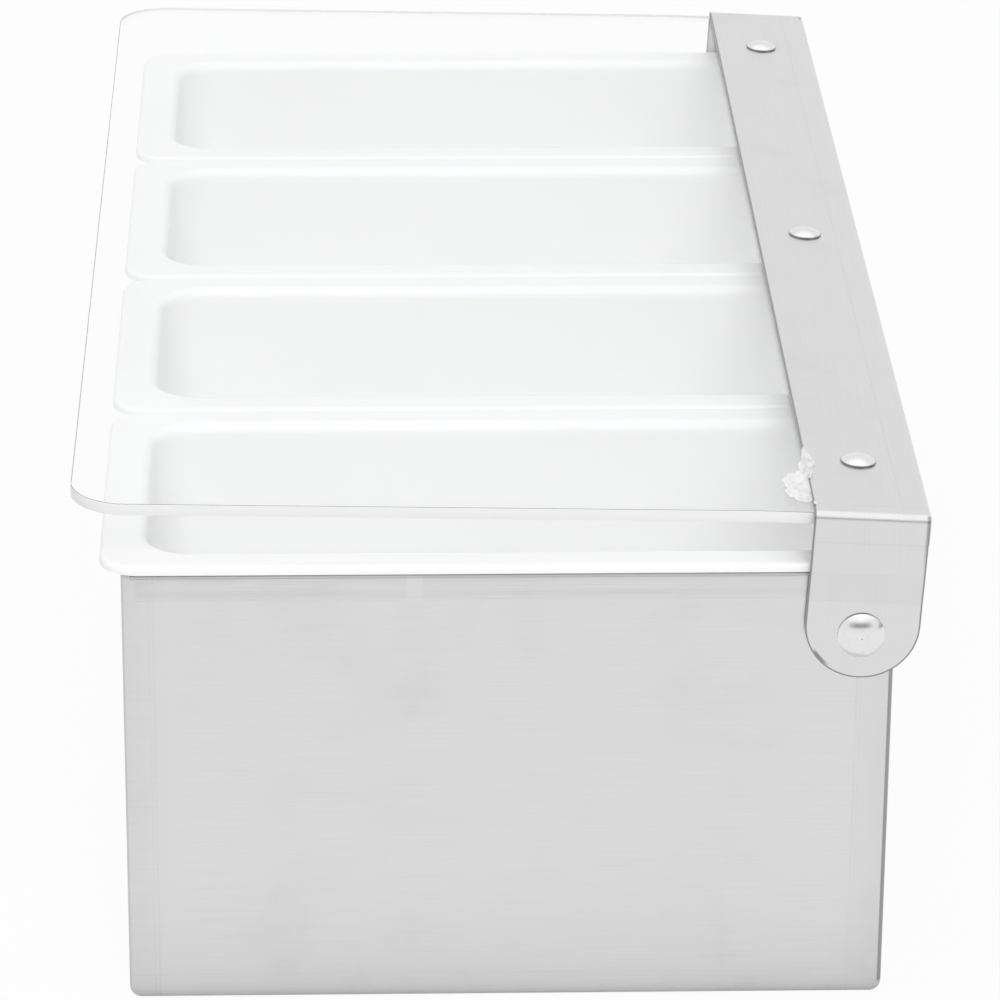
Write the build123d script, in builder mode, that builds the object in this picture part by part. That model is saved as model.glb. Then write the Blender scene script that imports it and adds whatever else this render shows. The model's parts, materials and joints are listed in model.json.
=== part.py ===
"""Garnish tray: a folded steel box with four lift-out tubs and a clear lid hinged on two ears.

X runs from the front of the tray to its hinge, Y along its length, Z up. The origin is the
middle of the underside. Lengths are millimetres.
"""

from build123d import *
import os
from math import asin, cos, radians, sin, tan

# Steel box: one sheet folded into a channel, closed by two folded end caps
sheet = 0.9
body_length = 305.0
body_width = 152.0
body_height = 93.8
channel_bend = 2.4
cap_bend = 1.9
cap_flange = 12.0
weld_gap = 0.05
hem_height = 7.0
hem_gap = 0.4

# Tubs: hung by their rims from the front and back walls
tub_count = 4
tub_row_overhang = 0.2
tub_gap = 0.2
tub_side_overhang = 4.3
rim_thickness = 1.7
rim_seat = 0.1
rim_corner = 7.5
rim_edge_round = 1.0
rim_side_width = 9.1
rim_end_width = 8.2
mouth_corner = 9.0
mouth_round = 2.2
tub_wall = 1.4
tub_foot_height = 11.8
tub_floor = 1.8
tub_foot_round = 5.0
tub_draft = 2.0

# Hinge: the ears turn on two rivets near the back of the end walls
pivot_from_back = 6.9
pivot_below_top = 12.9
lid_tilt = 3.0
strip_height = 25.9
strip_front = 11.2
strip_back = 12.0
strip_bend = 1.8
strip_flange = 7.0
ear_back = 11.5
ear_drop = 9.3
ear_fold_height = 6.9
ear_set_height = 13.5
ear_set = 0.4
ear_fold_round = 2.4
side_play = 0.1
flange_notch = 0.6

# Pivot rivets and their washers; every rivet head has a thin upright edge below its dome
head_edge = 0.3
pivot_shank = 4.8
pivot_head = 9.3
pivot_dome = 1.8
pivot_tail = 6.6
pivot_tail_dome = 1.3
pivot_washer = 9.0
pivot_washer_thickness = 0.5
burr_washer = 7.8
burr_thickness = 0.8
running_gap = 0.05

# Clear lid and the rivets that hold it to the strip
lid_thickness = 2.4
lid_front = 86.8
lid_end_gap = 0.2
lid_tail = 8.0
lid_corner = 11.0
lid_bow_start = 2.0
lid_bow_length = 14.0
lid_bow = 2.0
lid_rivet_from_end = 24.7
lid_rivet_offset = 0.4
lid_rivet_shank = 3.2
lid_rivet_head = 7.2
lid_rivet_dome = 1.2
lid_rivet_tail = 5.4
lid_rivet_tail_dome = 1.0
lid_washer = 7.6
lid_washer_thickness = 0.8
lid_hole_gap = 0.2

# How far a cut runs past what it cuts
overrun = 2.0

# Places worked out from the sizes above
half_length = body_length / 2
half_width = body_width / 2
fold_width = 2 * sheet + hem_gap
pivot_x = half_width - pivot_from_back
pivot_height = body_height - pivot_below_top
tilt = radians(lid_tilt)
ear_gap = pivot_washer_thickness + side_play
ear_low = half_length + ear_gap + sheet
ear_high = ear_low + ear_set
rim_bottom = body_height + rim_seat
rim_top = rim_bottom + rim_thickness
tub_pitch = (body_length + 2 * tub_row_overhang) / tub_count
draft_slope = tan(radians(tub_draft))
lid_top = strip_height - sheet
lid_bottom = lid_top - lid_thickness
lid_half_length = ear_high - strip_bend - lid_end_gap
lid_rivet_spacing = lid_half_length - lid_rivet_from_end

# Planes of the tilted lid: one flat with it, one across it
lid_plane = Plane(
    origin=(pivot_x, 0, pivot_height), x_dir=(cos(tilt), 0, -sin(tilt)), z_dir=(sin(tilt), 0, cos(tilt))
)
lid_side = Plane(
    origin=(pivot_x, 0, pivot_height), x_dir=(cos(tilt), 0, -sin(tilt)), z_dir=(0, -1, 0)
)
lid_across = Plane(
    origin=(pivot_x, 0, pivot_height), x_dir=(0, 1, 0), z_dir=(cos(tilt), 0, -sin(tilt))
)


def save(part, name):
    part.label = name
    export_step(part, f"parts/{name}.step")


def fold_section():
    """Section of a closed hem, hanging from the origin, with its outer face on the left."""
    straight = hem_height - fold_width / 2
    with Locations((fold_width / 2, -fold_width / 2)):
        Circle(fold_width / 2)
    with Locations((fold_width / 2, -fold_width / 2 - straight / 2)):
        Rectangle(fold_width, straight)
    with Locations((fold_width / 2, -fold_width / 2)):
        Circle(hem_gap / 2, mode=Mode.SUBTRACT)
    with Locations((fold_width / 2, -fold_width / 2 - straight / 2)):
        Rectangle(hem_gap, straight, mode=Mode.SUBTRACT)


def dome(radius, base, height):
    """Arc from the rim of a low dome to its crown, as drawn beside the axis of a rivet."""
    ball = (radius**2 + height**2) / (2 * height)
    half_angle = asin(radius / ball) / 2
    middle = (ball * sin(half_angle), base + height - ball + ball * cos(half_angle))
    return (radius, base), middle, (0, base + height)


def make_rivet(plane, shank, grip, head, head_dome, tail, tail_dome):
    """Rivet on a plane whose Y axis points out of the head; its grip ends at the plane's X axis."""
    with BuildPart() as rivet:
        with BuildSketch(plane):
            with BuildLine():
                ThreePointArc(*dome(head / 2, head_edge, head_dome))
                low = [(x, -grip - y) for x, y in dome(tail / 2, 0, tail_dome)]
                ThreePointArc(*low)
                Polyline(
                    (head / 2, head_edge),
                    (head / 2, 0),
                    (shank / 2, 0),
                    (shank / 2, -grip),
                    (tail / 2, -grip),
                )
                Line((0, head_edge + head_dome), (0, -grip - tail_dome))
            make_face()
        revolve(axis=Axis(plane.origin, plane.y_dir))
    return rivet.part


def make_washer(plane, outside, hole, thickness):
    with BuildPart() as washer:
        with BuildSketch(plane):
            Circle(outside / 2)
            Circle(hole / 2, mode=Mode.SUBTRACT)
        extrude(amount=thickness)
    return washer.part


os.makedirs("parts", exist_ok=True)

# Channel: front wall, floor and back wall in one folded sheet, hemmed along both top edges
channel_half_length = half_length - cap_flange - weld_gap
with BuildPart() as channel:
    with BuildSketch(Plane.XZ):
        with BuildLine():
            FilletPolyline(
                (-half_width, body_height - hem_height),
                (-half_width, 0),
                (half_width, 0),
                (half_width, body_height - hem_height),
                radius=channel_bend,
            )
            offset(amount=sheet, side=Side.LEFT)
        make_face()
    extrude(amount=channel_half_length, both=True)
    for side in (-1, 1):
        top = Plane(origin=(side * half_width, 0, body_height), x_dir=(-side, 0, 0), z_dir=(0, side, 0))
        with BuildSketch(top):
            fold_section()
        extrude(amount=channel_half_length, both=True)
save(channel.part, "body_channel")


def cap_block(inset, reach):
    """Block that an end cap is folded round, set in by the sheet for its inner side."""
    half_span = half_width - inset
    with BuildPart() as block:
        with BuildSketch(Plane.XZ.offset(half_length - inset)):
            with Locations((0, inset)):
                Rectangle(2 * half_span, body_height, align=(Align.CENTER, Align.MIN))
        extrude(amount=-reach)
        lengthwise = block.edges().filter_by(Axis.Y).group_by(Axis.Z)[0]
        fillet(lengthwise, radius=channel_bend - inset)
        outline = block.faces().sort_by(Axis.Y)[0].edges()
        fillet(outline.group_by(Axis.Z)[:-1], radius=cap_bend - inset)
    return block.part


# End caps: pans whose side and bottom flanges are welded edge to edge with the channel
hem_half_span = half_width - cap_bend
for end_name, turn in (("near", 0), ("far", 180)):
    with BuildPart() as cap:
        add(cap_block(0, cap_flange))
        add(cap_block(sheet, cap_flange), mode=Mode.SUBTRACT)
        with BuildSketch(Plane.YZ):
            with Locations((-half_length + fold_width / 2, body_height - fold_width / 2)):
                Rectangle(fold_width, fold_width)
        extrude(amount=hem_half_span, both=True, mode=Mode.SUBTRACT)
        fold = Plane(origin=(0, -half_length, body_height), x_dir=(0, 1, 0), z_dir=(1, 0, 0))
        with BuildSketch(fold):
            fold_section()
        extrude(amount=hem_half_span, both=True)
        with BuildSketch(Plane.XZ.offset(half_length + overrun)):
            with Locations((pivot_x if turn == 0 else -pivot_x, pivot_height)):
                Circle(pivot_shank / 2 + running_gap)
        extrude(amount=-cap_flange, mode=Mode.SUBTRACT)
    save(cap.part.rotate(Axis.Z, turn), f"end_cap_{end_name}")

# Tubs: flat rim, drafted walls and rounded floor
rim_length = tub_pitch - tub_gap
rim_half_width = half_width + tub_side_overhang
mouth_x = 2 * (rim_half_width - rim_side_width)
mouth_y = rim_length - 2 * rim_end_width
throat = tub_wall - rim_thickness * draft_slope
floor_top = tub_foot_height + tub_floor
tub_depth = rim_top - floor_top


def tub_block(top, grow, middle_y, depth, foot_round):
    """Drafted block with a rounded foot, as wide at the top as the mouth of a tub and twice grow."""
    with BuildPart() as block:
        with BuildSketch(Plane.XY.offset(top)):
            with Locations((0, middle_y)):
                RectangleRounded(mouth_x + 2 * grow, mouth_y + 2 * grow, mouth_corner + grow)
        extrude(amount=-depth, taper=tub_draft)
        fillet(block.edges().group_by(Axis.Z)[0], radius=foot_round)
    return block.part


for number in range(tub_count):
    middle_y = (number - (tub_count - 1) / 2) * tub_pitch
    with BuildPart() as tub:
        with BuildSketch(Plane.XY.offset(rim_bottom)):
            with Locations((0, middle_y)):
                RectangleRounded(2 * rim_half_width, rim_length, rim_corner)
        extrude(amount=rim_thickness)
        fillet(tub.edges().group_by(Axis.Z)[-1], radius=rim_edge_round)
        shell_depth = rim_bottom - floor_top + tub_floor
        add(tub_block(rim_bottom, throat, middle_y, shell_depth, tub_foot_round + tub_wall))
        add(tub_block(rim_top, 0, middle_y, tub_depth, tub_foot_round), mode=Mode.SUBTRACT)
        mouth = tub.faces().filter_by(Plane.XY).sort_by(Axis.Z)[-1].inner_wires()[0]
        fillet(mouth.edges(), radius=mouth_round)
    save(tub.part, f"garnish_tub_{number + 1}")

# Hinge bracket: a strip over the lid with an ear folded down at each end and a lip at the back
ear_width = strip_front + ear_back
ear_middle = (ear_back - strip_front) / 2
flange_half = ear_high - strip_bend - flange_notch
with BuildPart() as bracket:
    with BuildSketch(lid_across):
        with BuildLine():
            FilletPolyline(
                (-ear_low, -ear_drop - overrun),
                (-ear_low, ear_fold_height),
                (-ear_high, ear_set_height),
                (-ear_high, strip_height),
                (ear_high, strip_height),
                (ear_high, ear_set_height),
                (ear_low, ear_fold_height),
                (ear_low, -ear_drop - overrun),
                radius=[ear_fold_round] * 2 + [strip_bend] * 2 + [ear_fold_round] * 2,
            )
            offset(amount=sheet, side=Side.RIGHT)
        make_face()
    extrude(amount=ear_back)
    extrude(bracket.faces().sort_by(Axis(lid_across.origin, lid_across.z_dir))[0], amount=strip_front)
    with BuildSketch(lid_side):
        with Locations((ear_middle, ear_width / 2 - ear_drop)):
            Circle(ear_width / 2)
        with Locations((ear_middle, ear_width / 2 - ear_drop)):
            Rectangle(ear_width, strip_height + ear_drop, align=(Align.CENTER, Align.MIN))
    extrude(amount=ear_high + overrun, both=True, mode=Mode.INTERSECT)
    with BuildSketch(lid_side):
        with Locations((strip_back - strip_bend, strip_height)):
            Rectangle(strip_bend + overrun, sheet + overrun, align=(Align.MIN, Align.MAX))
    extrude(amount=flange_half, both=True, mode=Mode.SUBTRACT)
    with BuildSketch(lid_side):
        with BuildLine():
            FilletPolyline(
                (0, strip_height),
                (strip_back, strip_height),
                (strip_back, strip_height - strip_flange),
                radius=strip_bend,
            )
            offset(amount=sheet, side=Side.RIGHT)
        make_face()
    extrude(amount=flange_half, both=True)
    with BuildSketch(lid_side):
        Circle(pivot_shank / 2 + running_gap)
    extrude(amount=ear_high + overrun, both=True, mode=Mode.SUBTRACT)
    with BuildSketch(lid_plane.offset(strip_height + overrun)):
        with Locations([(-lid_rivet_offset, n * lid_rivet_spacing) for n in (-1, 0, 1)]):
            Circle(lid_rivet_shank / 2 + running_gap)
    extrude(amount=-sheet - 2 * overrun, mode=Mode.SUBTRACT)
save(bracket.part, "hinge_bracket")

# Clear lid: flat under the strip, then bowed gently down towards its free front edge
bow = radians(lid_bow)
bow_radius = lid_bow_length / bow
bow_x = -(strip_front + lid_bow_start)
flat_x = bow_x - bow_radius * sin(bow)
flat_drop = bow_radius * (1 - cos(bow))
front_reach = lid_front + pivot_x
run = (front_reach / cos(tilt) + flat_x) / cos(bow)
front_point = (flat_x - run * cos(bow), lid_top - flat_drop - run * sin(bow))
bow_middle = (bow_x - bow_radius * sin(bow / 2), lid_top - bow_radius * (1 - cos(bow / 2)))
with BuildPart() as lid:
    with BuildSketch(lid_side):
        with BuildLine():
            Line((lid_tail, lid_top), (bow_x, lid_top))
            ThreePointArc((bow_x, lid_top), bow_middle, (flat_x, lid_top - flat_drop))
            Line((flat_x, lid_top - flat_drop), front_point)
            offset(amount=lid_thickness, side=Side.LEFT)
        make_face()
    extrude(amount=lid_half_length, both=True)
    front = lid.faces().sort_by(Axis.X)[0]
    fillet(front.edges().sort_by(SortBy.LENGTH)[:2], radius=lid_corner)
    with BuildSketch(lid_plane.offset(strip_height)):
        with Locations([(-lid_rivet_offset, n * lid_rivet_spacing) for n in (-1, 0, 1)]):
            Circle(lid_rivet_shank / 2 + lid_hole_gap)
    extrude(amount=-strip_height, mode=Mode.SUBTRACT)
save(lid.part, "clear_lid")

# Lid rivets and the washers under the lid
lid_grip = sheet + lid_thickness + lid_washer_thickness
for name, n in (("near", -1), ("middle", 0), ("far", 1)):
    head_seat = lid_side.offset(-n * lid_rivet_spacing)
    head_seat = Plane(
        origin=head_seat.from_local_coords((-lid_rivet_offset, strip_height, 0)),
        x_dir=lid_side.x_dir,
        z_dir=lid_side.z_dir,
    )
    rivet = make_rivet(
        head_seat,
        lid_rivet_shank,
        lid_grip,
        lid_rivet_head,
        lid_rivet_dome,
        lid_rivet_tail,
        lid_rivet_tail_dome,
    )
    save(rivet, f"lid_rivet_{name}")
    under_lid = Plane(
        origin=lid_plane.from_local_coords((-lid_rivet_offset, n * lid_rivet_spacing, lid_bottom)),
        x_dir=lid_plane.x_dir,
        z_dir=-lid_plane.z_dir,
    )
    hole = lid_rivet_shank + 2 * running_gap
    washer = make_washer(under_lid, lid_washer, hole, lid_washer_thickness)
    save(washer, f"lid_washer_{name}")

# Pivot rivets, the washers the ears turn against and the burr washers inside the box
pivot_grip = sheet + side_play + ear_gap + sheet + burr_thickness
for name, out in (("near", -1), ("far", 1)):
    head_seat = Plane(
        origin=(pivot_x, out * (ear_low + side_play), pivot_height), x_dir=(1, 0, 0), z_dir=(0, 0, out)
    )
    rivet = make_rivet(
        head_seat, pivot_shank, pivot_grip, pivot_head, pivot_dome, pivot_tail, pivot_tail_dome
    )
    save(rivet, f"pivot_rivet_{name}")
    hole = pivot_shank + 2 * running_gap
    wall_face = Plane(origin=(pivot_x, out * half_length, pivot_height), z_dir=(0, out, 0))
    washer = make_washer(wall_face, pivot_washer, hole, pivot_washer_thickness)
    save(washer, f"pivot_washer_{name}")
    inner_face = Plane(
        origin=(pivot_x, out * (half_length - sheet), pivot_height), z_dir=(0, -out, 0)
    )
    burr = make_washer(inner_face, burr_washer, hole, burr_thickness)
    save(burr, f"burr_washer_{name}")
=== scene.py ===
"""Finishes of a garnish tray: a folded steel box, four white tubs and a clear hinged lid.

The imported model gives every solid, and each one gets its finish here. The lid is made again with
polished edges and the rivets with smooth domes, a torn scrap of protective film is added, and a
plain studio stands around the tray. Lengths are metres; X runs from the front to the hinge, Y
along the tray, Z up.
"""

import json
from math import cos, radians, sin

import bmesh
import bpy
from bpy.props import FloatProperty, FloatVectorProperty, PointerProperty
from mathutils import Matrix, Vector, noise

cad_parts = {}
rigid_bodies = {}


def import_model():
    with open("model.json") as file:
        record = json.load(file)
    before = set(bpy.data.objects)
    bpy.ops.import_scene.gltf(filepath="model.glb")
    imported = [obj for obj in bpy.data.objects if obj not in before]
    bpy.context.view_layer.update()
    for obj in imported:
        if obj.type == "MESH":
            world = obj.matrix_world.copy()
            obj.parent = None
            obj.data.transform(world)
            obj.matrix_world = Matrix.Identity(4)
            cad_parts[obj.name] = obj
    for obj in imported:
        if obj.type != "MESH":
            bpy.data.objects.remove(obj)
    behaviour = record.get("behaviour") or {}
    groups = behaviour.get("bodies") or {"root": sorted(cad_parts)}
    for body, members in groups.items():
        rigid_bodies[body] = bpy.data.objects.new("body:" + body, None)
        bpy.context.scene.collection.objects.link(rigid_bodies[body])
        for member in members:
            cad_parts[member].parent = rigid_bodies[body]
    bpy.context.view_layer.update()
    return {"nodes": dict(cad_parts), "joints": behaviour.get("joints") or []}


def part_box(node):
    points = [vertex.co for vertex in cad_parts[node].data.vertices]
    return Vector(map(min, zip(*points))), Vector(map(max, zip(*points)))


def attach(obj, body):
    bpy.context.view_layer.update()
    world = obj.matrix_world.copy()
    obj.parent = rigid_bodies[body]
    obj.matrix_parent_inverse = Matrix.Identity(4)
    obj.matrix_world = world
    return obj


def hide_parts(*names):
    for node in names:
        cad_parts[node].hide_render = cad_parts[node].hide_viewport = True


bl_info = {
    "name": "Garnish tray",
    "version": (1, 0, 0),
    "blender": (4, 5, 0),
    "location": "3D View > Sidebar > Garnish tray",
    "description": "Finishes a garnish tray with a clear hinged lid and sets it in a plain studio",
    "category": "Object",
}

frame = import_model()

MILLIMETRE = 0.001

BOX_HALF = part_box("body_channel")[1].x
BOX_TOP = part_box("body_channel")[1].z
CAP_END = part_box("end_cap_far")[1].y
EAR_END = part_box("hinge_bracket")[1].y
LID_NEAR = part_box("clear_lid")[0].y
HINGE = next(joint for joint in frame["joints"] if joint["name"] == "lid_hinge")["pos_m"]
TUBS = sorted(name for name in frame["nodes"] if name.startswith("garnish_tub_"))
CAPS = sorted(name for name in frame["nodes"] if name.startswith("end_cap_"))
RIVETS = sorted(name for name in frame["nodes"] if "_rivet_" in name)
WASHERS = sorted(name for name in frame["nodes"] if "_washer_" in name)

# The hinge strip and the lid lean by TILT. Places on them are given across the strip and square
# to it, from the axis of the hinge, as STRIP_FRONT for its front edge and STRIP_TOP for its top
# face. SHEET is the thickness of its steel.
TILT = radians(3.0)
STRIP_FRONT = -0.0112
STRIP_TOP = 0.0259
SHEET = 0.0009

# The outline of each ear: half its width, its middle, and how far it reaches below the hinge.
EAR_HALF = 0.01135
EAR_MIDDLE = 0.00015
EAR_DROP = 0.0093

PLASTIC_IOR = 1.49
WHITE = (1.0, 1.0, 1.0)
BLACK = (0.0, 0.0, 0.0)

# The soft square lamps: the length of a side, where each stands and what it is aimed at.
OVERHEAD_LAMP = dict(size=2.0, place=(-0.3, 0.2, 1.7), target=(0, 0, 0.05))
FRONT_LAMP = dict(size=1.6, place=(0.16, -2.35, 1.85), target=(0, 0, 0.08))

# The camera: its place, its turns, and its focal length in pixels of an image this wide.
CAMERA_PLACE = (-0.034420, -1.103504, 0.524777)
CAMERA_PITCH = radians(23.573)
CAMERA_YAW = radians(-1.950)
CAMERA_ROLL = radians(0.447)
FOCAL_PIXELS = 5347.9
IMAGE_WIDTH = 1000


def grey(level):
    """Linear colour of a neutral grey written from 0 to 255."""
    value = level / 255
    linear = value / 12.92 if value <= 0.04045 else ((value + 0.055) / 1.055) ** 2.4
    return (linear, linear, linear)


class SteelSettings(bpy.types.PropertyGroup):
    colour: FloatVectorProperty(
        name="Steel", description="Colour of the folded sheet", subtype="COLOR",
        default=grey(223), min=0, max=1,
    )
    roughness: FloatProperty(
        name="Roughness", description="How far the brushed face blurs what it mirrors",
        subtype="FACTOR", default=0.3, min=0, max=1,
    )
    grain: FloatProperty(
        name="Grain", description="Width of one brushed line", unit="LENGTH",
        default=0.25 * MILLIMETRE, min=0.05 * MILLIMETRE, max=2 * MILLIMETRE,
    )
    # The cut edge colour also paints the dark reflections down the folds of the box, and with the
    # edge width the painted shadow beside the edges of the hinge strip.
    edge_and_shade_colour: FloatVectorProperty(
        name="Cut edge", description="Colour of the sheared edges of the sheet", subtype="COLOR",
        default=grey(145), min=0, max=1,
    )
    edge_width: FloatProperty(
        name="Edge width", description="Width of the dull line along a sheared edge", unit="LENGTH",
        default=0.45 * MILLIMETRE, min=0.05 * MILLIMETRE, max=2 * MILLIMETRE,
    )
    rivet_colour: FloatVectorProperty(
        name="Rivets", description="Colour of the rivets and washers", subtype="COLOR",
        default=grey(232), min=0, max=1,
    )


class PlasticSettings(bpy.types.PropertyGroup):
    tub_colour: FloatVectorProperty(
        name="Tubs", description="Colour of the moulded tubs", subtype="COLOR",
        default=grey(253), min=0, max=1,
    )
    tub_roughness: FloatProperty(
        name="Tub roughness", description="How matt the tubs are", subtype="FACTOR",
        default=0.38, min=0, max=1,
    )
    lid_tint: FloatVectorProperty(
        name="Lid", description="What one face of the clear lid lets through", subtype="COLOR",
        default=(0.993, 0.995, 0.996), min=0, max=1,
    )
    lid_edge: FloatVectorProperty(
        name="Lid edge", description="Colour of the polished edge of the lid", subtype="COLOR",
        default=grey(240), min=0, max=1,
    )
    lid_arris: FloatProperty(
        name="Arris", description="Width of the bevel along the edges of the lid", unit="LENGTH",
        default=0.35 * MILLIMETRE, min=0.05 * MILLIMETRE, max=MILLIMETRE,
    )
    film_colour: FloatVectorProperty(
        name="Film", description="Colour of the scrap of protective film", subtype="COLOR",
        default=grey(253), min=0, max=1,
    )
    film_thickness: FloatProperty(
        name="Film thickness", description="Thickness of the protective film", unit="LENGTH",
        default=0.08 * MILLIMETRE, min=0.02 * MILLIMETRE, max=0.5 * MILLIMETRE,
    )


class StudioSettings(bpy.types.PropertyGroup):
    floor_colour: FloatVectorProperty(
        name="Floor", description="Colour of the floor", subtype="COLOR",
        default=(0.86, 0.86, 0.86), min=0, max=1,
    )
    sky: FloatProperty(
        name="Sky", description="Strength of the even light from all round", default=0.5, min=0,
    )
    overhead: FloatProperty(
        name="Overhead lamp", description="Power of the soft lamp above the tray", unit="POWER",
        default=11.0, min=0,
    )
    front: FloatProperty(
        name="Front lamp", description="Power of the soft lamp above the camera", unit="POWER",
        default=33.5, min=0,
    )
    room: FloatProperty(
        name="Room", description="How dark the unlit parts of the room look in the metal",
        subtype="FACTOR", default=0.6, min=0, max=1,
    )
    # A painted contact shadow in what the steel mirrors of the floor.
    contact_shadow: FloatProperty(
        name="Contact", description="How dark the floor looks in the steel close to the box",
        subtype="FACTOR", default=0.7, min=0, max=1,
    )


class TraySettings(bpy.types.PropertyGroup):
    steel: PointerProperty(type=SteelSettings)
    plastic: PointerProperty(type=PlasticSettings)
    studio: PointerProperty(type=StudioSettings)


class Value:
    """A shader value that takes part in Python sums, so that a pattern reads as one sum."""

    def __init__(self, finish, socket):
        self.finish = finish
        self.socket = socket

    def maths(self, operation, *others):
        return self.finish.node("Math", dict(operation=operation), dict(enumerate((self, *others))))

    def __add__(self, other):
        return self.maths("ADD", other)

    def __radd__(self, other):
        return self.maths("ADD", other)

    def __sub__(self, other):
        return self.maths("SUBTRACT", other)

    def __rsub__(self, other):
        return (self * -1).maths("ADD", other)

    def __mul__(self, other):
        return self.maths("MULTIPLY", other)

    def __rmul__(self, other):
        return self.maths("MULTIPLY", other)

    def __truediv__(self, other):
        return self.maths("DIVIDE", other)

    def __pow__(self, other):
        return self.maths("POWER", other)

    def __abs__(self):
        return self.maths("ABSOLUTE")

    def higher(self, other):
        return self.maths("MAXIMUM", other)

    def lower(self, other):
        return self.maths("MINIMUM", other)

    def smooth(self, nought, one):
        """A soft step from 0 at the first value to 1 at the second, whichever is the higher."""
        start, end = (0, 1) if nought < one else (1, 0)
        return self.finish.node(
            "MapRange",
            dict(interpolation_type="SMOOTHSTEP"),
            {"Value": self, "From Min": min(nought, one), "From Max": max(nought, one),
             "To Min": start, "To Max": end},
        )

    def line(self, place, width):
        """1 on a thin line across this value, fading out at half its width each side."""
        return abs(self - place).smooth(width / 2, width / 8)


class Nodes:
    """A node tree that is filled by one call for each node."""

    def __init__(self, owner, output):
        owner.use_nodes = True
        self.tree = owner.node_tree
        self.tree.nodes.clear()
        self.output = self.tree.nodes.new("ShaderNode" + output)

    def node(self, kind, settings=None, sockets=None, output=0):
        """One node of a kind, with its settings made first and then its sockets filled."""
        made = self.tree.nodes.new("ShaderNode" + kind)
        for name, value in (settings or {}).items():
            setattr(made, name, value)
        for name, value in (sockets or {}).items():
            self.fill(made.inputs[name], value)
        return Value(self, made.outputs[output])

    def fill(self, socket, value):
        """Links a value to a socket, or sets the socket to a number or a colour."""
        if isinstance(value, Value):
            self.tree.links.new(value.socket, socket)
        elif isinstance(value, (tuple, list)) and len(value) == 3 and socket.type == "RGBA":
            socket.default_value = (*value, 1)
        else:
            socket.default_value = value

    def show(self, shader):
        """Makes a shader the one that is seen."""
        self.fill(self.output.inputs[0], shader)

    def split(self, vector):
        """The three parts of a vector."""
        return [self.node("SeparateXYZ", sockets={0: vector}, output=part) for part in range(3)]

    def ray(self, kind):
        """1 for rays of one kind, as Light Path names it, and 0 for others."""
        return self.node("LightPath", output=kind)


class Finish(Nodes):
    """A material made of nodes, with one Principled shader."""

    def __init__(self, name):
        self.material = bpy.data.materials.new(name)
        super().__init__(self.material, "OutputMaterial")
        self.shader = self.tree.nodes.new("ShaderNodeBsdfPrincipled")
        self.show(self.body())

    def body(self):
        return Value(self, self.shader.outputs[0])

    def set(self, **sockets):
        """Fills sockets of the shader; spaces in their names are written as underscores."""
        for name, value in sockets.items():
            self.fill(self.shader.inputs[name.replace("_", " ")], value)

    def place(self):
        """Object coordinates as three values."""
        return self.split(self.node("TexCoord", output="Object"))

    def noise(self, x, y, z, detail=2.0, roughness=0.5):
        """Noise from 0 to 1 over three values already scaled."""
        vector = self.node("CombineXYZ", sockets={"X": x, "Y": y, "Z": z})
        sockets = {"Vector": vector, "Scale": 1.0, "Detail": detail, "Roughness": roughness}
        return self.node("TexNoise", sockets=sockets)

    def clouds(self, size, **settings):
        """Noise from 0 to 1 that is as long as it is wide."""
        x, y, z = self.place()
        return self.noise(x / size, y / size, z / size, **settings)

    def blend(self, share, first, second):
        """Colour that goes from first to second as share goes from 0 to 1."""
        sockets = {0: share, 6: first, 7: second}
        return self.node("Mix", dict(data_type="RGBA"), sockets, output=2)

    def bump(self, height, distance, strength):
        sockets = {"Height": height, "Distance": distance, "Strength": strength}
        self.set(Normal=self.node("Bump", sockets=sockets))


class Sky(Nodes):
    """The world's nodes."""

    def __init__(self, world):
        super().__init__(world, "OutputWorld")

    def direction(self):
        """The direction looked in, as three values."""
        return self.split(self.node("TexCoord", output="Generated"))


def on_strip(x, z):
    """Place across the hinge strip and above the pivot, in the tilted plane of the strip."""
    dx, dz = x - HINGE[0], z - HINGE[2]
    return dx * cos(TILT) - dz * sin(TILT), dx * sin(TILT) + dz * cos(TILT)


def off_strip(across, above):
    """The X and Z of a place given in the tilted plane of the strip."""
    x = HINGE[0] + across * cos(TILT) + above * sin(TILT)
    return x, HINGE[2] - across * sin(TILT) + above * cos(TILT)


def dress(names, material):
    """Gives CAD nodes a material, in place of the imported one."""
    for name in names:
        node = frame["nodes"][name]
        if not node.material_slots:
            raise RuntimeError(f"{name} has no material slot")
        for slot in node.material_slots:
            slot.link = "OBJECT"
            slot.material = material


def scaled(colour, share):
    return tuple(part * share for part in colour)


# Edges that turn by more than this stay crisp, where a piece has no angle of its own.
CRISP = radians(30)


def keep_crisp(mesh, angle):
    """Marks the edges that turn by more than an angle as sharp, so that they stay crisp."""
    edges = bmesh.new()
    edges.from_mesh(mesh)
    for edge in edges.edges:
        edge.smooth = not edge.is_manifold or edge.calc_face_angle() < angle
    edges.to_mesh(mesh)
    edges.free()


def new_piece(context, name, shape, angle, *materials):
    """An object made from a bmesh, which is used up, with its sharp edges crisp."""
    mesh = bpy.data.meshes.new(name)
    shape.to_mesh(mesh)
    shape.free()
    for material in materials:
        mesh.materials.append(material)
    keep_crisp(mesh, angle)
    piece = bpy.data.objects.new(name, mesh)
    context.scene.collection.objects.link(piece)
    return piece


# How long a brushed line is, how deep, and how large the cloudy stretches of the steel are.
BRUSHED_LINE = 0.02
BRUSHED_DEPTH = 0.01 * MILLIMETRE
STEEL_CLOUD = 0.02


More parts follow.
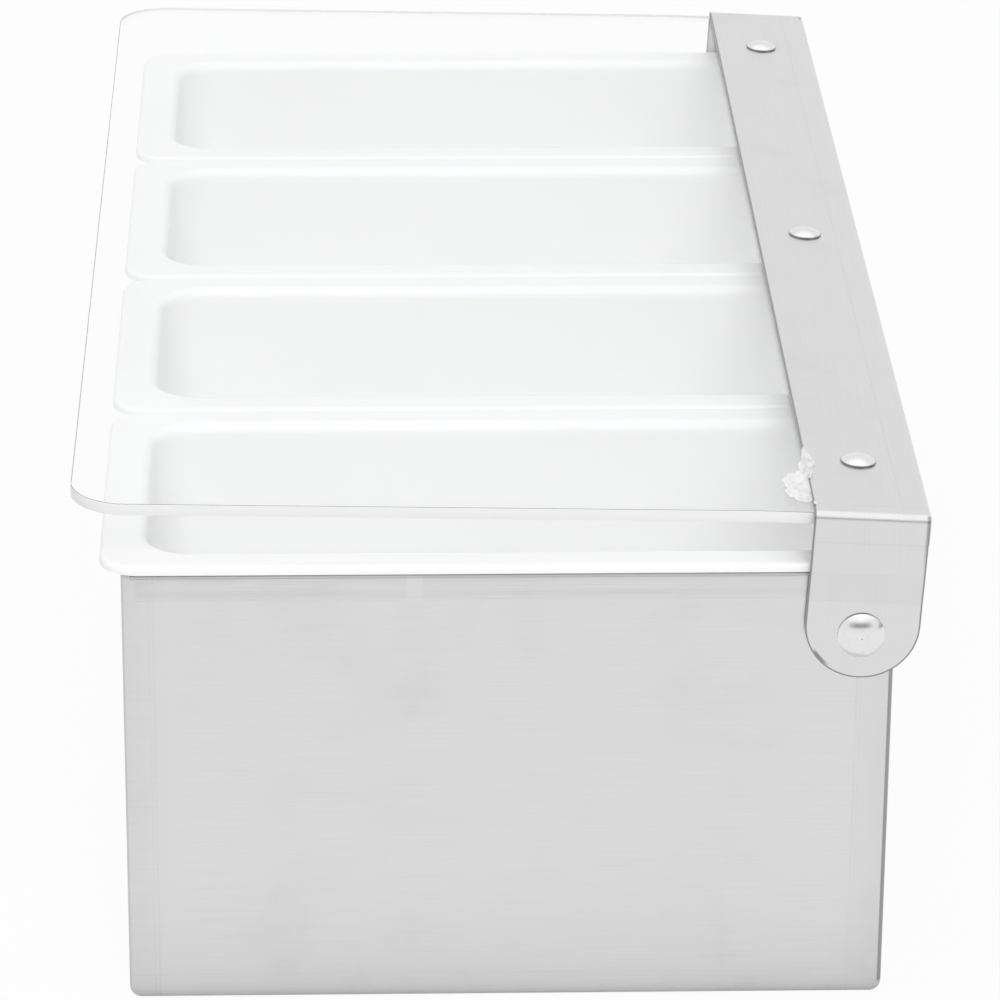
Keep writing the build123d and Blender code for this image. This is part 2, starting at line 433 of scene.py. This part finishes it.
def brushed(name, settings, along, across, marks=None, edge=None):
    """Brushed steel whose lines run along one value and follow each other across another.

    The marks, painted shade among them, darken it and dull it, and where edge is 1 it has the
    colour of a cut edge, which also paints dark reflections down the box's folds and shadow beside
    the strip's edges.
    """
    steel = Finish(name)
    x, y, z = steel.place()
    run, cross = along(x, y, z) / BRUSHED_LINE, across(x, y, z) / settings.grain
    lines = steel.noise(run, cross, 0.0, detail=3.0, roughness=0.65)
    clouds = steel.clouds(STEEL_CLOUD, detail=4.0, roughness=0.6)
    dark = clouds.smooth(0.5, 0.2) * 0.05 + lines.smooth(0.45, 0.8) * 0.05
    rough = settings.roughness + (lines - 0.5) * 0.12
    if marks:
        mark = marks(x, y, z, lines, clouds)
        dark = dark + mark
        rough = rough + mark * 0.5
    colour = steel.blend(dark, tuple(settings.colour), BLACK)
    if edge:
        colour = steel.blend(edge(x, y, z), colour, tuple(settings.edge_and_shade_colour))
    steel.set(Base_Color=colour, Metallic=1.0, Roughness=rough)
    steel.bump(lines, BRUSHED_DEPTH, 0.6)
    return steel.material


# A pair whose name ends in MARK, MARKS, STREAK or NICK is a thin line, by its place and its width.
# The other pairs of the steel say where a mask is 0 and where it is 1.

# Press marks on the end walls, by their distance from the fold beside them.
FRONT_MARKS = ((0.0062, 0.0007), (0.0053, 0.0005))
HINGE_MARKS = ((0.0072, 0.0007), (0.0064, 0.0004))
FOOT_MARK = (0.0056, 0.0007)

# The darker band under the rim, the gap in it and its two streaks.
BAND_FROM_TOP = (0.0058, 0.0054)
BAND_FROM_FOLD = (0.0020, 0.0036)
BAND_GAP = -0.0185
BAND_GAP_REACH = (0.0020, 0.0012)
LOWER_STREAK = (0.0040, 0.0020)
UPPER_STREAK = (0.0012, 0.0016)

# Painted shade towards the foot, the folds and the top edge. END_FACE keeps it, and the marks
# above, at the end faces.
SHADE_OVER_FOOT = (0.030, 0.004)
SHADE_AT_FOOT = (0.004, 0.0)
SHADE_FROM_FOLD = (0.010, 0.0)
SHADE_FROM_TOP = (0.0009, 0.0004)
END_FACE = (0.004, 0.002)

# The painted dark reflections down the folds of the end walls, on the hinge side and, fainter, on
# the front.
HINGE_FOLD_SHADE = (0.00105, 0.00085)
FRONT_FOLD_SHADE = (0.0006, 0.0003)
FOLD_SHADE_FOOT = (0.0024, 0.0030)
FOLD_SHADE_FROM_END = (0.0018, 0.0016)


class GARNISHTRAY_OT_box(bpy.types.Operator):
    """Finishes the folded box: brushed walls with the marks of the press, painted shade, and
    painted dark reflections down the corners
    """

    bl_idname = "garnish_tray.box"
    bl_label = "Steel box"

    def execute(self, context):
        settings = context.scene.garnish_tray.steel
        channel = brushed("steel_along", settings, lambda x, y, z: y, lambda x, y, z: x + z)
        caps = brushed(
            "steel_across", settings, lambda x, y, z: x + y, lambda x, y, z: z,
            marks=self.wall_marks_and_shade, edge=self.fold_shade,
        )
        dress(["body_channel"], channel)
        dress(CAPS, caps)
        return {"FINISHED"}

    @staticmethod
    def wall_marks_and_shade(x, y, z, lines, clouds):
        """Press marks beside each fold, a darker band under the rim, and painted shade at the
        edges.
        """
        from_front, from_hinge = x + BOX_HALF, BOX_HALF - x
        from_fold, from_top, from_end = BOX_HALF - abs(x), BOX_TOP - z, CAP_END - abs(y)
        press = z.line(*FOOT_MARK)
        for mark in FRONT_MARKS:
            press = press.higher(from_front.line(*mark))
        for mark in HINGE_MARKS:
            press = press.higher(from_hinge.line(*mark))
        press = press * clouds.smooth(0.25, 0.6) * 0.035

        gap = abs(x - BAND_GAP).smooth(*BAND_GAP_REACH)
        band = from_top.smooth(*BAND_FROM_TOP) * from_fold.smooth(*BAND_FROM_FOLD) * (1 - gap)
        streaks = from_top.line(*LOWER_STREAK) * 0.035 + from_top.line(*UPPER_STREAK) * 0.03
        rim_band = band * (0.03 + streaks + (lines - 0.5) * 0.10)

        # Painted shade: darker towards the foot, beside the folds and just under the top edge.
        shade = z.smooth(*SHADE_OVER_FOOT) * 0.06 + z.smooth(*SHADE_AT_FOOT) * 0.12
        shade = shade + from_fold.smooth(*SHADE_FROM_FOLD) * 0.05
        shade = shade + from_top.smooth(*SHADE_FROM_TOP) * 0.15
        return (press + rim_band + shade) * from_end.smooth(*END_FACE)

    @staticmethod
    def fold_shade(x, y, z):
        """Painted dark reflection down the fold on the hinge side, and a fainter one on the front.
        """
        from_front, from_hinge, from_end = x + BOX_HALF, BOX_HALF - x, CAP_END - abs(y)
        edges = (from_hinge.smooth(*HINGE_FOLD_SHADE) * 0.9).higher(from_front.smooth(*FRONT_FOLD_SHADE) * 0.3)
        return edges * z.smooth(*FOLD_SHADE_FOOT) * from_end.smooth(*FOLD_SHADE_FROM_END)


# Press marks on the hinge strip: one along it, one near each end and one across each ear.
LONG_MARK = (0.0062, 0.0006)
LONG_MARK_FROM_END = (0.002, 0.004)
END_MARK = (0.0045, 0.0006)
END_MARK_FROM_TOP = (0.002, 0.001)
EAR_MARK = (0.0062, 0.0006)

# Heights above the hinge of the painted shade across each ear and of the painted light below it.
EAR_SHADE_FOOT = (0.0066, 0.0072)
EAR_SHADE_TOP = (0.0136, 0.0130)
EAR_LIGHT_TOP = (0.0070, 0.0062)

# A sheared edge is at its dullest over this share of its width, next to the cut.
SHEARED_SHARE = 0.4

# Where the ears are, the worn nick in their outline, and the dark tip beside the near bend.
EAR_FROM_END = (0.0020, 0.0018)
EAR_FROM_TOP = (0.0018, 0.0022)
NICK = (-0.0080, 0.0050)
NICK_ABOVE = (-0.0030, -0.0045)
NICK_INWARD = (0.0011, 0.0006)
TIP_ACROSS = (0.0106, 0.0111)
TIP_FROM_NEAR = (0.0014, 0.0006)
TIP_ABOVE = (0.010, 0.024)


class GARNISHTRAY_OT_hinge(bpy.types.Operator):
    """Finishes the hinge strip: brushed along its length and down its two ears"""

    bl_idname = "garnish_tray.hinge"
    bl_label = "Hinge strip"

    def execute(self, context):
        settings = context.scene.garnish_tray.steel
        strip = brushed(
            "steel_strip", settings, lambda x, y, z: abs(y) - z, lambda x, y, z: x + z * 0.05,
            marks=self.strip_marks_and_shade, edge=lambda x, y, z: self.sheared(x, y, z, settings.edge_width),
        )
        dress(["hinge_bracket"], strip)
        return {"FINISHED"}

    @staticmethod
    def strip_marks_and_shade(x, y, z, lines, clouds):
        """Press marks, and the painted shade and painted light on stretches of the ears."""
        across, above = on_strip(x, z)
        from_end, from_top = EAR_END - abs(y), STRIP_TOP - above
        long = across.line(*LONG_MARK) * from_end.smooth(*LONG_MARK_FROM_END)
        end = from_end.line(*END_MARK) * from_top.smooth(*END_MARK_FROM_TOP)
        press = long.higher(end).higher(from_top.line(*EAR_MARK))
        # Painted shade across each ear, and painted light on the ear below it.
        dark = above.smooth(*EAR_SHADE_FOOT) * above.smooth(*EAR_SHADE_TOP) * 0.03
        pale = above.smooth(*EAR_LIGHT_TOP) * 0.06
        return press * clouds.smooth(0.2, 0.6) * 0.05 + dark - pale

    @staticmethod
    def sheared(x, y, z, width):
        """Dull line along the front of the strip and round each ear, wider where it is worn: the
        cut edge's own colour and painted shadow beside it.
        """
        across, above = on_strip(x, z)
        from_end, from_top, from_near = EAR_END - abs(y), STRIP_TOP - above, EAR_END + y
        side = across - EAR_MIDDLE
        below = (above - (EAR_HALF - EAR_DROP)).lower(0.0)
        inward = EAR_HALF - (side * side + below * below) ** 0.5
        nick = across.line(*NICK) * above.smooth(*NICK_ABOVE) * inward.smooth(*NICK_INWARD)
        outline = inward.smooth(width, width * SHEARED_SHARE).higher(nick)
        ear = outline * from_end.smooth(*EAR_FROM_END) * from_top.smooth(*EAR_FROM_TOP)
        front = (side + EAR_HALF).smooth(width, width * SHEARED_SHARE)
        tip = across.smooth(*TIP_ACROSS) * from_near.smooth(*TIP_FROM_NEAR)
        tip = tip * above.smooth(*TIP_ABOVE) * 0.8
        return ear.higher(front).higher(tip)


# The pits in the rivets and washers, and how rough the two are.
PIT = 0.0012
PIT_DEPTH = 0.01 * MILLIMETRE
BRIGHT_ROUGHNESS = 0.16
DULL_ROUGHNESS = 0.35

# The painted shadow round the foot of a head: its height above the strip, its reach and its grey.
FOOT_SHADE_HEIGHT = 0.0001
FOOT_SHADE_REACH = (0.00035, 0.00020)
FOOT_SHADE_GREY = 90

# Points of a rivet that are nearer than this become one.
RIVET_MERGE = 0.02 * MILLIMETRE


class GARNISHTRAY_OT_rivets(bpy.types.Operator):
    """Finishes the rivets, which are bright, and the washers, which are dull"""

    bl_idname = "garnish_tray.rivets"
    bl_label = "Rivets and washers"

    def execute(self, context):
        settings = context.scene.garnish_tray.steel
        bright = self.metal("rivet_bright", settings, BRIGHT_ROUGHNESS)
        dress(WASHERS, self.metal("washer_dull", settings, DULL_ROUGHNESS))
        for name in RIVETS:
            self.polished(context, name, bright)
        return {"FINISHED"}

    def metal(self, name, settings, roughness):
        """Pitted metal, with a painted shadow on the strip round the foot of each head."""
        metal = Finish(name)
        x, _, z = metal.place()
        pits = metal.clouds(PIT, detail=3.0)
        wear = pits.smooth(0.5, 0.8)
        above = on_strip(x, z)[1]
        # Painted shadow round the foot of the head.
        foot = abs(above - STRIP_TOP - FOOT_SHADE_HEIGHT).smooth(*FOOT_SHADE_REACH)
        shade = (wear * 0.06).higher(foot * 0.75)
        metal.set(
            Base_Color=metal.blend(shade, tuple(settings.rivet_colour), grey(FOOT_SHADE_GREY)),
            Metallic=1.0,
            Roughness=roughness + wear * 0.08,
        )
        metal.bump(pits, PIT_DEPTH, 0.3)
        return metal.material

    def polished(self, context, name, material):
        """The rivet again, with its triangles joined so that its dome is smooth to the top."""
        node = frame["nodes"][name]
        rivet = bmesh.new()
        rivet.from_mesh(node.data)
        bmesh.ops.remove_doubles(rivet, verts=rivet.verts, dist=RIVET_MERGE)
        for face in rivet.faces:
            face.smooth = True
        piece = new_piece(context, name + "_polished", rivet, CRISP, material)
        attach(piece, node.parent.name.partition(":")[2])
        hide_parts(name)


# How large the flow marks of the moulded plastic are, and how fine and deep the grain of its skin.
TUB_FLOW = 0.04
TUB_SKIN = 0.0006
TUB_SKIN_DEPTH = 0.015 * MILLIMETRE


class GARNISHTRAY_OT_tubs(bpy.types.Operator):
    """Finishes the four tubs in moulded white plastic"""

    bl_idname = "garnish_tray.tubs"
    bl_label = "Tubs"

    def execute(self, context):
        settings = context.scene.garnish_tray.plastic
        plastic = Finish("tub_white")
        flow, skin = plastic.clouds(TUB_FLOW), plastic.clouds(TUB_SKIN)
        white = tuple(settings.tub_colour)
        plastic.set(
            Base_Color=plastic.blend(flow.smooth(0.35, 0.75), white, scaled(white, 0.975)),
            Roughness=settings.tub_roughness + (flow - 0.5) * 0.12,
            IOR=PLASTIC_IOR,
        )
        plastic.bump(skin, TUB_SKIN_DEPTH, 0.5)
        dress(TUBS, plastic.material)
        return {"FINISHED"}


# Points of the lid that are nearer than LID_MERGE become one, and so do faces that turn by less
# than LID_FLAT. Edges that turn by more than LID_SQUARE are bevelled, and of the edges that this
# leaves, those that turn by more than LID_CRISP stay crisp.
LID_MERGE = 0.01 * MILLIMETRE
LID_FLAT = radians(0.5)
LID_SQUARE = radians(60)
LID_CRISP = radians(25)

# How large the clouds of haze in the lid are, and how close and tall the saw marks on its edge.
LID_HAZE = 0.05
SAW_PITCH = 0.0006
SAW_HEIGHT = 0.004


class GARNISHTRAY_OT_lid(bpy.types.Operator):
    """Makes the clear lid again with polished edges, and finishes it"""

    bl_idname = "garnish_tray.lid"
    bl_label = "Clear lid"

    def execute(self, context):
        settings = context.scene.garnish_tray.plastic
        sheet = bmesh.new()
        sheet.from_mesh(frame["nodes"]["clear_lid"].data)
        bmesh.ops.remove_doubles(sheet, verts=sheet.verts, dist=LID_MERGE)
        bmesh.ops.dissolve_limit(
            sheet, angle_limit=LID_FLAT, verts=sheet.verts, edges=sheet.edges,
        )
        square = [e for e in sheet.edges if e.is_manifold and e.calc_face_angle() > LID_SQUARE]
        bmesh.ops.bevel(
            sheet, geom=square, offset=settings.lid_arris, offset_type="OFFSET", segments=2,
            profile=0.5, affect="EDGES", clamp_overlap=True, material=-1,
        )
        for face in sheet.faces:
            level = abs(face.normal.z) > 0.9
            face.smooth = not level
            face.material_index = 0 if level else 1
        lid = new_piece(
            context, "lid_sheet", sheet, LID_CRISP, self.clear(settings), self.edge(settings),
        )
        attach(lid, "lid")
        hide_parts("clear_lid")
        return {"FINISHED"}

    def clear(self, settings):
        """Clear plastic that bends what is seen through it and lets the lamps shine through."""
        clear = Finish("lid_clear")
        haze = clear.clouds(LID_HAZE, detail=3.0).smooth(0.4, 0.8)
        tint = tuple(settings.lid_tint)
        clear.set(
            Base_Color=tint, Transmission_Weight=1.0, IOR=PLASTIC_IOR, Roughness=haze * 0.02,
        )
        straight = clear.node("BsdfTransparent", sockets={"Color": tint})
        lit = clear.ray("Is Shadow Ray").higher(clear.ray("Is Diffuse Ray"))
        clear.show(clear.node("MixShader", sockets={0: lit, 1: clear.body(), 2: straight}))
        return clear.material

    def edge(self, settings):
        """Saw-cut and polished edge: white and cloudy beside the faces."""
        edge = Finish("lid_edge")
        x, y, z = edge.place()
        saw = edge.noise((x + y) / SAW_PITCH, (x - y) / SAW_PITCH, z / SAW_HEIGHT)
        colour = tuple(settings.lid_edge)
        edge.set(
            Base_Color=edge.blend(saw, scaled(colour, 0.985), colour),
            Roughness=0.3 + saw * 0.05,
            IOR=PLASTIC_IOR,
        )
        return edge.material


# The film that the scrap is torn from, and where it starts behind the near edge of the lid.
FILM_START = 0.0015
FILM_LENGTH = 0.030
FILM_WIDTH = 0.013

# What is left of it: a round patch on the lid and a pointed spike over the edge of the strip.
# Middles and half lengths are shares of the film's length.
PATCH_MIDDLE_SHARE = 0.36
PATCH_HALF_SHARE = 0.27
PATCH_WIDTH = 0.0052
SPIKE_MIDDLE_SHARE = 0.70
SPIKE_HALF_SHARE = 0.29
SPIKE_WIDTH = 0.0017
SPIKE_SIDE = 0.0003

# How large the tears along its outline and its creases are, across and along it, and how deep.
TEAR_SIZE = (0.0016, 0.0022)
TEAR_DEPTH = 0.0012
CREASE_SIZE = (0.0030, 0.0045)
CREASE_HEIGHT = 0.00008

# How far it stands off what it lies on, over what width it climbs onto the strip, and what turn
# of its surface stays crisp.
FILM_LIFT = 0.00012
FILM_CLIMB = 0.0006
FILM_CRISP = radians(60)

# How large the clouds in it are, across and along it, and how deep they look.
FILM_CLOUD = (0.0024, 0.0040)
FILM_CLOUD_DEPTH = 0.02 * MILLIMETRE


def wrinkles(side, run, size, layer):
    """Smooth noise about 0 over the flat film."""
    return noise.noise(Vector((side / size[0], run * FILM_LENGTH / size[1], layer)))


class GARNISHTRAY_OT_film(bpy.types.Operator):
    """Adds the torn scrap of protective film that is caught at the edge of the hinge strip"""

    bl_idname = "garnish_tray.film"
    bl_label = "Film scrap"

    def execute(self, context):
        settings = context.scene.garnish_tray.plastic
        scrap = bmesh.new()
        bmesh.ops.create_grid(scrap, x_segments=40, y_segments=90, size=0.5)
        torn = [face for face in scrap.faces if not self.kept(face.calc_center_median())]
        bmesh.ops.delete(scrap, geom=torn, context="FACES")
        rim = [vert for vert in scrap.verts if vert.is_boundary]
        bmesh.ops.smooth_vert(scrap, verts=rim, factor=0.5, use_axis_x=True, use_axis_y=True)
        for vert in scrap.verts:
            vert.co = self.laid(vert.co)
        bmesh.ops.solidify(scrap, geom=scrap.faces, thickness=-settings.film_thickness)
        for face in scrap.faces:
            face.smooth = True
        piece = new_piece(context, "film_scrap", scrap, FILM_CRISP, self.film(settings))
        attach(piece, "lid")
        return {"FINISHED"}

    @staticmethod
    def kept(place):
        """Whether the film is still there: a patch on the lid, then a spike over the strip."""
        run, side = place.y + 0.5, place.x * FILM_WIDTH
        ragged = wrinkles(side, run, TEAR_SIZE, 3.0) * TEAR_DEPTH
        along_patch = (run - PATCH_MIDDLE_SHARE) / PATCH_HALF_SHARE
        along_spike = abs(run - SPIKE_MIDDLE_SHARE) / SPIKE_HALF_SHARE
        patch = PATCH_WIDTH * max(0.0, 1 - along_patch ** 2) ** 0.5
        spike = SPIKE_WIDTH * max(0.0, 1 - along_spike)
        on_lid = patch > 0 and -patch - ragged < side < 0
        return on_lid or abs(side - SPIKE_SIDE) < spike + ragged * 0.5

    @staticmethod
    def laid(place):
        """Where a place of the flat film comes to lie: on the lid, and up over the strip's edge."""
        run, side = place.y + 0.5, place.x * FILM_WIDTH
        lifted = FILM_LIFT + CREASE_HEIGHT * wrinkles(side, run, CREASE_SIZE, 0.0)
        if side > -FILM_CLIMB:
            lifted += SHEET * min(1.0, (side + FILM_CLIMB) / FILM_CLIMB)
        x, z = off_strip(STRIP_FRONT + side, STRIP_TOP - SHEET + lifted)
        return x, LID_NEAR + FILM_START + run * FILM_LENGTH, z

    def film(self, settings):
        """Thin white film, cloudy and creased."""
        film = Finish("film_white")
        x, y, z = film.place()
        width, length = FILM_CLOUD
        cloud = film.noise(x / width, y / length, z / width)
        colour = tuple(settings.film_colour)
        film.set(
            Base_Color=film.blend(cloud, colour, scaled(colour, 0.96)),
            Roughness=0.3 + cloud * 0.2,
            Alpha=0.38 + cloud.smooth(0.3, 0.7) * 0.47,
        )
        film.bump(cloud, FILM_CLOUD_DEPTH, 0.1)
        return film.material


# The floor: how far it reaches, how large the clouds in its cloth are, and from where to where the
# box's painted contact shadow darkens it in what the steel mirrors.
FLOOR_REACH = 8.0
FLOOR_CLOTH = 0.2
CONTACT_SHADOW_REACH = (0.016, -0.002)

# How much of its own light the floor gives to what sees it, and to what mirrors it.
FLOOR_SEEN = 0.93
FLOOR_MIRRORED = 0.85

# What the metal mirrors of the sky: its level, and how much the lit ceiling adds to that.
SKY_MIRRORED = 0.95
CEILING_MIRRORED = 0.3

# Where the lit ceiling lies, and the dark of the unlit room: in a band at ROOM_HEIGHT beyond the
# near end, and on the hinge side. All of them are parts of the direction looked in.
CEILING = (0.55, 0.9)
ROOM_BEHIND = (0.62, 0.92)
ROOM_HEIGHT = 0.36
ROOM_HEIGHT_REACH = (0.20, 0.07)
ROOM_BESIDE = (0.80, 0.97)


class GARNISHTRAY_OT_stage(bpy.types.Operator):
    """Sets up the floor, the even sky, the soft lamps and the camera"""

    bl_idname = "garnish_tray.stage"
    bl_label = "Studio"

    def execute(self, context):
        settings = context.scene.garnish_tray.studio
        self.floor(context, settings)
        self.sky(context, settings)
        self.lamp(context, "overhead_lamp", settings.overhead, **OVERHEAD_LAMP)
        self.lamp(context, "front_lamp", settings.front, **FRONT_LAMP)
        self.camera(context)
        context.scene.view_settings.view_transform = "Standard"
        context.scene.cycles.diffuse_bounces = 10
        return {"FINISHED"}

    def floor(self, context, settings):
        """A pale floor that looks white and keeps a soft shadow."""
        plane = bmesh.new()
        bmesh.ops.create_grid(plane, x_segments=1, y_segments=1, size=FLOOR_REACH)
        finish = Finish("floor_pale")
        colour = tuple(settings.floor_colour)
        cloth = finish.clouds(FLOOR_CLOTH)
        finish.set(Base_Color=finish.blend(cloth, colour, scaled(colour, 0.98)), Roughness=0.9)
        x, y, _ = finish.place()
        seen = finish.ray("Is Camera Ray").higher(finish.ray("Is Transmission Ray"))
        beside = (abs(x) - BOX_HALF).higher(abs(y) - CAP_END)
        # Painted contact shadow: close to the box the steel mirrors a darker floor.
        contact_shadow = beside.smooth(*CONTACT_SHADOW_REACH) * settings.contact_shadow
        mirrored = finish.ray("Is Glossy Ray") * (1 - contact_shadow)
        share = (seen * FLOOR_SEEN).higher(mirrored * FLOOR_MIRRORED)
        glow = finish.node("Emission", sockets={"Color": WHITE, "Strength": 1.0})
        finish.show(finish.node("MixShader", sockets={0: share, 1: finish.body(), 2: glow}))
        floor = new_piece(context, "studio_floor", plane, CRISP, finish.material)

    def sky(self, context, settings):
        """Even light, white where it is seen, with the unlit room in what the metal mirrors."""
        world = bpy.data.worlds.new("studio_sky")
        context.scene.world = world
        sky = Sky(world)
        x, y, z = sky.direction()
        behind = (y * -1).smooth(*ROOM_BEHIND) * abs(z - ROOM_HEIGHT).smooth(*ROOM_HEIGHT_REACH)
        beside = (x * 0.99 - z * 0.05).smooth(*ROOM_BESIDE)
        ceiling = (z * 0.98 - y * 0.2).smooth(*CEILING) * CEILING_MIRRORED
        mirrored = SKY_MIRRORED + ceiling - behind.higher(beside) * settings.room
        glossy = sky.ray("Is Glossy Ray")
        seen = sky.ray("Is Camera Ray").higher(sky.ray("Is Transmission Ray"))
        hidden = glossy * mirrored + (1 - glossy) * settings.sky
        strength = seen + (1 - seen) * hidden
        sky.show(sky.node("Background", sockets={"Color": WHITE, "Strength": strength}))

    def lamp(self, context, name, power, size, place, target):
        """A soft square lamp that lights the tray and isn't mirrored in it."""
        light = bpy.data.lights.new(name, "AREA")
        light.shape = "SQUARE"
        light.size = size
        light.energy = power
        lamp = bpy.data.objects.new(name, light)
        lamp.visible_glossy = False
        context.scene.collection.objects.link(lamp)
        aim = (Vector(target) - Vector(place)).to_track_quat("-Z", "Y")
        lamp.matrix_world = Matrix.Translation(place) @ aim.to_matrix().to_4x4()

    def camera(self, context):
        """A long lens from the near end, above the tray, turned as the photograph was taken."""
        data = bpy.data.cameras.new("camera")
        data.sensor_width = 36.0
        data.lens = FOCAL_PIXELS * data.sensor_width / IMAGE_WIDTH
        data.clip_end = 50.0
        yaw = Matrix.Rotation(-CAMERA_YAW, 3, "Z")
        pitch = Matrix.Rotation(CAMERA_PITCH, 3, "X")
        roll = Matrix.Rotation(CAMERA_ROLL, 3, "Y")
        right, ahead, up = roll @ pitch @ yaw
        axes = Matrix((right, up, -ahead)).transposed().to_4x4()
        camera = bpy.data.objects.new("camera", data)
        context.scene.collection.objects.link(camera)
        camera.matrix_world = Matrix.Translation(CAMERA_PLACE) @ axes
        context.scene.camera = camera


STEPS = (
    GARNISHTRAY_OT_stage,
    GARNISHTRAY_OT_box,
    GARNISHTRAY_OT_tubs,
    GARNISHTRAY_OT_hinge,
    GARNISHTRAY_OT_lid,
    GARNISHTRAY_OT_film,
    GARNISHTRAY_OT_rivets,
)


class GARNISHTRAY_PT_sidebar(bpy.types.Panel):
    """Lists the settings and the pieces of the tray"""

    bl_label = "Garnish tray"
    bl_idname = "GARNISHTRAY_PT_sidebar"
    bl_space_type = "VIEW_3D"
    bl_region_type = "UI"
    bl_category = "Garnish tray"

    def draw(self, context):
        settings = context.scene.garnish_tray
        for group in (settings.steel, settings.plastic, settings.studio):
            box = self.layout.box()
            for name in group.__annotations__:
                box.prop(group, name)
        for step in STEPS:
            self.layout.operator(step.bl_idname)


SETTINGS = (SteelSettings, PlasticSettings, StudioSettings, TraySettings)
CLASSES = (*SETTINGS, *STEPS, GARNISHTRAY_PT_sidebar)


def register():
    for each in CLASSES:
        bpy.utils.register_class(each)
    bpy.types.Scene.garnish_tray = PointerProperty(type=TraySettings)


def unregister():
    del bpy.types.Scene.garnish_tray
    for each in reversed(CLASSES):
        bpy.utils.unregister_class(each)


def main():
    register()
    for step in STEPS:
        group, name = step.bl_idname.split(".")
        getattr(getattr(bpy.ops, group), name)()


if __name__ == "__main__":
    main()
